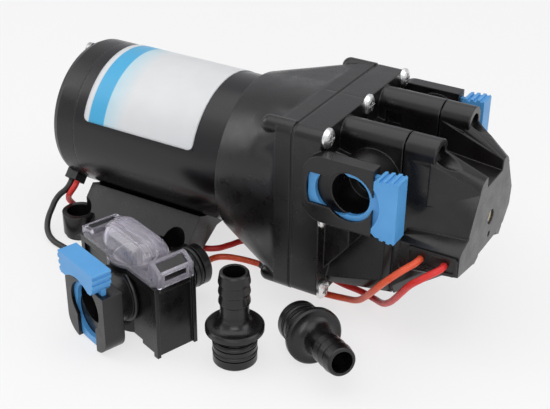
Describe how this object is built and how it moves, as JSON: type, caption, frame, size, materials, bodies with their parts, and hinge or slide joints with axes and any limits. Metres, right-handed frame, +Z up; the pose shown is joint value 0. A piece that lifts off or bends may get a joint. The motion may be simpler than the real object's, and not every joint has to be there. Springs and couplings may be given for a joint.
{
  "type": "water pump",
  "caption": "Electric diaphragm pump for a caravan's fresh water, on a saddle base, with clip-in ports, a clear-lidded strainer and loose barbed hose tails.",
  "frame": {"origin": "on the floor, at the centre of the four base holes", "axes": "+X along the motor towards the pump head, +Z up, -Y towards the strainer and hose tails"},
  "size_m": [0.229, 0.1739, 0.1011],
  "materials": {
    "motor_paint": "satin",
    "black_plastic": "satin",
    "steel": "satin",
    "screw_steel": "bright",
    "ferrite": "matte",
    "copper": "satin",
    "carbon": "matte",
    "card": "matte",
    "label": "satin",
    "rubber": "matte",
    "inner_plastic": "matte",
    "valve_rubber": "matte",
    "blue_plastic": "satin",
    "brass": "satin",
    "red_sheath": "satin",
    "orange_sheath": "satin",
    "black_sheath": "satin",
    "clear_plastic": "clear",
    "screen_steel": "satin"
  },
  "bodies": {
    "pump": {"motor_can": "motor_paint", "rear_end_cap": "black_plastic", "front_end_plate": "steel", "field_magnets": "ferrite", "rear_bearing": "steel", "front_bearing": "steel", "carbon_brushes": "carbon", "brush_card": "card", "tie_bolts": "steel", "rating_label": "label", "lead_grommet": "rubber", "base_saddle": "black_plastic", "rubber_feet": "rubber", "saddle_screws": "steel", "bell_housing": "black_plastic", "diaphragm": "rubber", "valve_plate": "inner_plastic", "inlet_valves": "valve_rubber", "outlet_valves": "valve_rubber", "pump_head": "black_plastic", "front_cover": "black_plastic", "cover_gasket": "rubber", "flange_screws": "screw_steel", "cover_screws": "screw_steel", "lead_plate": "black_plastic", "microswitch": "inner_plastic", "switch_spring": "steel", "red_lead": "red_sheath", "orange_lead": "orange_sheath", "black_lead": "black_sheath", "splice_sleeve": "black_sheath", "bared_ends": "copper"},
    "drive": {"rotor_core": "steel", "rotor_windings": "copper", "commutator": "copper", "motor_shaft": "steel", "eccentric_hub": "steel", "cam_bearing": "steel"},
    "wobble_plate": {"drive_plate": "inner_plastic", "piston_caps": "inner_plastic"},
    "near_clip": {"near_clip": "blue_plastic"},
    "far_clip": {"far_clip": "blue_plastic"},
    "adjuster": {"adjusting_screw": "brass"},
    "plunger": {"switch_plunger": "inner_plastic"},
    "strainer": {"strainer_body": "black_plastic", "strainer_bowl": "black_plastic", "strainer_port": "black_plastic", "strainer_plug": "black_plastic", "lid_seal": "rubber", "strainer_screen": "screen_steel", "strainer_orings": "rubber"},
    "strainer_lid": {"strainer_lid": "clear_plastic"},
    "strainer_clip": {"strainer_clip": "blue_plastic"},
    "standing_tail": {"standing_tail": "black_plastic", "standing_tail_orings": "rubber"},
    "lying_tail": {"lying_tail": "black_plastic", "lying_tail_orings": "rubber"}
  },
  "joints": [
    {"name": "drive_spin", "type": "hinge", "parent": "pump", "child": "drive", "pos_m": [0, 0, 0.056], "axis": [1, 0, 0], "continuous": true},
    {"name": "plate_rock", "type": "hinge", "parent": "pump", "child": "wobble_plate", "pos_m": [0.0751, 0, 0.056], "axis": [0, 1, 0], "range_deg": [-2, 2], "stiffness_Nm_per_rad": 2, "deforming": ["diaphragm"]},
    {"name": "near_clip_slide", "type": "slide", "parent": "pump", "child": "near_clip", "axis": [1, 0, 0], "range_m": [0, 0.0065]},
    {"name": "far_clip_slide", "type": "slide", "parent": "pump", "child": "far_clip", "axis": [1, 0, 0], "range_m": [0, 0.0065]},
    {"name": "adjuster_turn", "type": "hinge", "parent": "pump", "child": "adjuster", "pos_m": [0, 0, 0.056], "axis": [1, 0, 0], "range_deg": [-180, 180]},
    {"name": "plunger_press", "type": "slide", "parent": "pump", "child": "plunger", "axis": [1, 0, 0], "range_m": [0, 0.0015], "stiffness_N_per_m": 3000, "deforming": ["switch_spring"]},
    {"name": "strainer_lift", "type": "slide", "parent": "pump", "child": "strainer", "axis": [0, 0, 1], "range_m": [0, 0.1]},
    {"name": "lid_lift", "type": "slide", "parent": "strainer", "child": "strainer_lid", "axis": [0, 0, 1], "range_m": [0, 0.025]},
    {"name": "strainer_clip_slide", "type": "slide", "parent": "strainer", "child": "strainer_clip", "axis": [0, 0, 1], "range_m": [0, 0.0065]},
    {"name": "standing_tail_lift", "type": "slide", "parent": "pump", "child": "standing_tail", "axis": [0, 0, 1], "range_m": [0, 0.1]},
    {"name": "lying_tail_lift", "type": "slide", "parent": "pump", "child": "lying_tail", "axis": [0, 0, 1], "range_m": [0, 0.1]}
  ]
}
